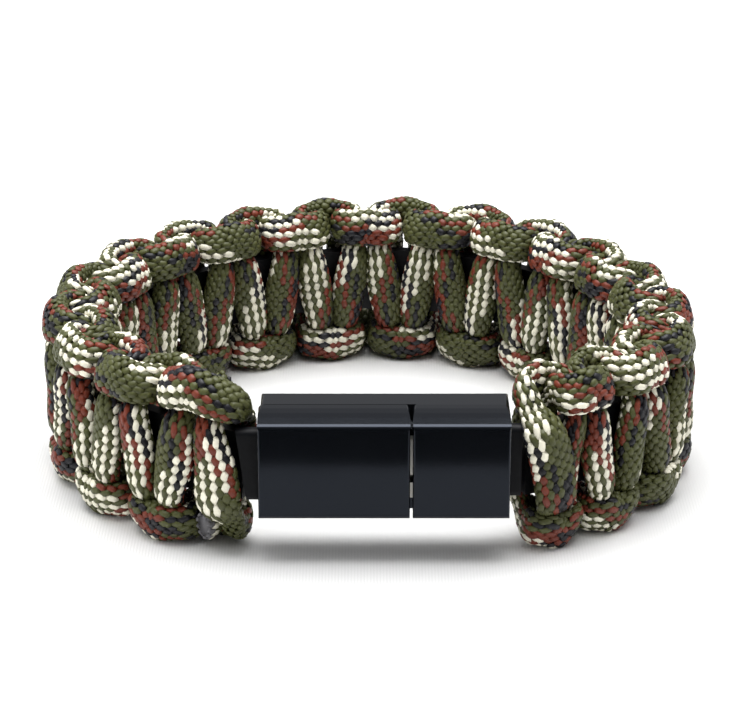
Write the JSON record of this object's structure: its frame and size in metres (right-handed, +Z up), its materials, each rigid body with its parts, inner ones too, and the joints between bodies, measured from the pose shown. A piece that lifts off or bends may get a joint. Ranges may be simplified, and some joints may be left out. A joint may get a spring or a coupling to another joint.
{
  "type": "charging cable bracelet",
  "caption": "Closed oval wrist bracelet: a knotted two-cord band woven round a flat charging lead, with both plugs joined end to end as its clasp.",
  "frame": {"origin": "centre of the whole bracelet's outline seen from above, on the surface that it stands on", "axes": "+Z up, across the band from edge to edge; -Y out of the clasp's front face; +X to the right as seen facing the clasp, towards the wide plug's housing"},
  "size_m": [0.0759, 0.0685, 0.0214],
  "materials": {
    "braided_cord": "woven nylon sheath in olive, cream, rust and near-black",
    "lead_jacket": "matt black soft jacket",
    "housing_plastic": "moulded black, satin to gloss",
    "plug_metal": "nickel-plated pressed steel"
  },
  "bodies": {
    "root": {"outer_cord_left": "braided_cord", "outer_cord_right": "braided_cord", "inner_cord_left": "braided_cord", "inner_cord_right": "braided_cord", "flat_lead": "lead_jacket", "left_neck": "lead_jacket", "right_neck": "lead_jacket", "small_plug_housing": "housing_plastic", "small_plug_shell": "plug_metal", "wide_plug_housing": "housing_plastic"}
  },
  "joints": []
}
